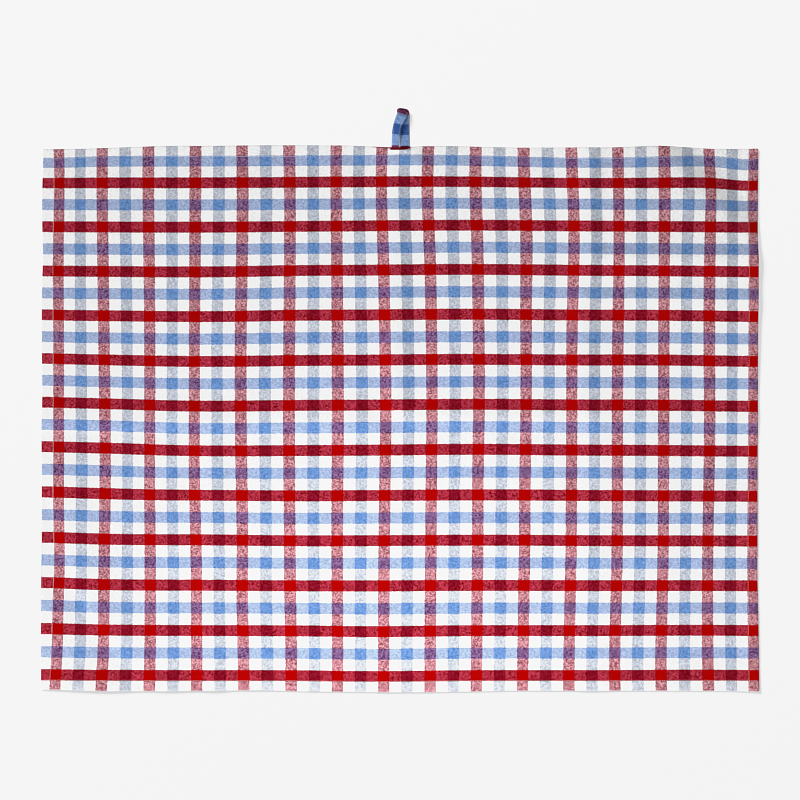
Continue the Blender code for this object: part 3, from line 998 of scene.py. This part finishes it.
def seam_runs():
    """For each side, the two ends of its run of the seam in the flat cloth."""
    edge_x, edge_y = TOWEL_WIDTH / 2 - SEAM_END, TOWEL_HEIGHT / 2 - SEAM_END
    near_x, near_y = TOWEL_WIDTH / 2 - HEM_WIDTH, TOWEL_HEIGHT / 2 - HEM_WIDTH
    return {
        "top": ((-edge_x, near_y), (edge_x, near_y)),
        "right": ((near_x, edge_y), (near_x, -edge_y)),
        "bottom": ((edge_x, -near_y), (-edge_x, -near_y)),
        "left": ((-near_x, -edge_y), (-near_x, edge_y)),
    }


def on_seam(side, x, y):
    """The place beside a point that lies on the threads of that side's seam."""
    for _ in range(CORRECTIONS):
        miss = seam_misses(x, y)[side]
        x, y = (x, y - miss) if side in ("top", "bottom") else (x - miss, y)
    return x, y


def hem_rows(is_face):
    """The places of the stitches in each of the seam's runs, and the way up there."""
    rows = []
    up = Vector((0, 0, 1 if is_face else -1))
    for side, (start, end) in seam_runs().items():
        run = math.dist(start, end)
        count = round(run / STITCH_PITCH)
        places = []
        for i in range(count + 1):
            share = i / count
            x, y = on_seam(side, *(a + (b - a) * share for a, b in zip(start, end)))
            places.append((lay(x, y, is_face), up))
        rows.append(places)
    return rows


face_rows = hem_rows(True)
seam_face = sew("hem_seam_face", face_rows)
seam_back = sew("hem_seam_back", hem_rows(False))
print("hem stitches:", sum(len(row) - 1 for row in face_rows), "faces:", len(seam_face.data.polygons))

# %% [markdown]
# The strip has a row of stitches near each of its long edges, on both of its sides.

# %% The loop's seams
STRIP_INSET = 1.0 * MM
STRIP_OUT = 0.45  # of the strip's thickness, from its middle out to its stitches


def strip_rows():
    """The places of the stitches in the strip's four rows, and the way out of the strip there."""
    rows = []
    count = round(strip_length / STITCH_PITCH)
    for edge in (-1, 1):
        for side in (-1, 1):
            places = []
            for i in range(count + 1):
                run = strip_length * i / count
                place, up = strip_place(run, edge * (0.5 - STRIP_INSET / strip_width(run)))
                places.append((place + up * side * LOOP_THICKNESS * STRIP_OUT, up * side))
            rows.append(places)
    return rows


loop_seams = sew("loop_seams", strip_rows())
print("loop stitches:", 4 * round(strip_length / STITCH_PITCH))

# %% [markdown]
# ## Floor and light
#
# A plain pale floor and soft studio light. The raking light comes low from the left, a little from below,
# so the old folds show as soft light and dark lines, and a weak one close above the cloth lifts its lower
# middle. Photographers often light the ground on its own, so a third light from the upper left falls on
# the floor alone. It gives the thin soft shadow along the bottom and the right edge.

# %% Floor
FLOOR_SIZE = 6.0
FLOOR_REFLECTS = 0.25
FLOOR_GLOWS = 0.547  # most of its light is its own, so that the towel's shadow stays faint
floor_paint, _, floor_shader = new_material("matt pale floor")
floor_shader.inputs["Base Color"].default_value = (FLOOR_REFLECTS, FLOOR_REFLECTS, FLOOR_REFLECTS, 1.0)
floor_shader.inputs["Emission Color"].default_value = (1.0, 1.0, 1.0, 1.0)
floor_shader.inputs["Emission Strength"].default_value = FLOOR_GLOWS
floor_shader.inputs["Roughness"].default_value = 1.0
floor_shader.inputs["Specular IOR Level"].default_value = 0.0
ground = bmesh.new()
bmesh.ops.create_grid(ground, x_segments=1, y_segments=1, size=FLOOR_SIZE / 2)
floor_mesh = bpy.data.meshes.new("floor")
ground.to_mesh(floor_mesh)
ground.free()
floor_mesh.materials.append(floor_paint)
floor = bpy.data.objects.new("floor", floor_mesh)
scene.collection.objects.link(floor)

# %% Lights
Light = namedtuple("Light", "name x y z size power falls_on")
LIGHTS = (
    Light("pool light", -0.01, -0.27, 0.52, 0.20, 1.79, "cloth"),
    Light("raking light", -6.2, -5.2, 4.4, 4.0, 958.0, "cloth"),
    Light("ground light", -7.8, 9.0, 8.0, 4.0, 5246.0, "floor"),
)
WORLD_STRENGTH = 0.211
CLOSE_LIGHT = 1.0  # a light lower than this shines straight down, and the others at the middle

# The floor's light falls on it alone, and the others fall on all but the floor.
lit = {name: bpy.data.collections.new("lit " + name) for name in ("cloth", "floor")}
for group in lit.values():
    group.objects.link(floor)
lit["cloth"].collection_objects[0].light_linking.link_state = "EXCLUDE"

for light in LIGHTS:
    data = bpy.data.lights.new(light.name, "AREA")
    data.shape = "DISK"
    data.size = light.size
    data.energy = light.power
    lamp = bpy.data.objects.new(light.name, data)
    lamp.location = (light.x, light.y, light.z)
    shines_from = Vector(lamp.location) if light.z > CLOSE_LIGHT else Vector((0, 0, 1))
    lamp.rotation_mode = "QUATERNION"
    lamp.rotation_quaternion = shines_from.to_track_quat("Z", "Y")
    lamp.visible_camera = False
    lamp.light_linking.receiver_collection = lit[light.falls_on]
    scene.collection.objects.link(lamp)

world = bpy.data.worlds.new("soft room light")
world.use_nodes = True
background = world.node_tree.nodes["Background"]
background.inputs["Color"].default_value = (1.0, 1.0, 1.0, 1.0)
background.inputs["Strength"].default_value = WORLD_STRENGTH
scene.world = world

# %% [markdown]
# ## Tone
#
# A catalogue photograph is exposed brightly and then sharpened. Its whites flatten out just below pure
# white, while the darker colours keep their full range. A curve and a light sharpening do the same here.

# %% Tone curve and sharpening
TONE_POINTS = (
    (0.0, 0.0), (0.3, 0.3), (0.5, 0.53), (0.62, 0.69), (0.70, 0.80),
    (0.75, 0.845), (0.86, 0.874), (1.03, 0.937), (1.6, 0.97),
)  # fmt: skip
SHARPENING = 0.04
DISPLAY_GAMMA = 2.2  # sharpening works on the picture as it is shown
scene.view_settings.view_transform = "Standard"
scene.use_nodes = True
finishing = scene.node_tree
finishing.nodes.clear()
picture = add_node(finishing, "CompositorNodeRLayers")
tone = add_node(finishing, "CompositorNodeCurveRGB", {"Image": picture})
tone.mapping.use_clip = False
tone_curve = tone.mapping.curves[3]
while len(tone_curve.points) < len(TONE_POINTS):
    tone_curve.points.new(1.0, 1.0)
for point, place in zip(tone_curve.points, TONE_POINTS):
    point.location = place
tone.mapping.update()
shown = add_node(finishing, "CompositorNodeGamma", [tone, 1 / DISPLAY_GAMMA])
settings = {"Fac": SHARPENING, "Image": shown}
sharp = add_node(finishing, "CompositorNodeFilter", settings, filter_type="SHARPEN")
back = add_node(finishing, "CompositorNodeGamma", [sharp, DISPLAY_GAMMA])
add_node(finishing, "CompositorNodeComposite", {"Image": back})
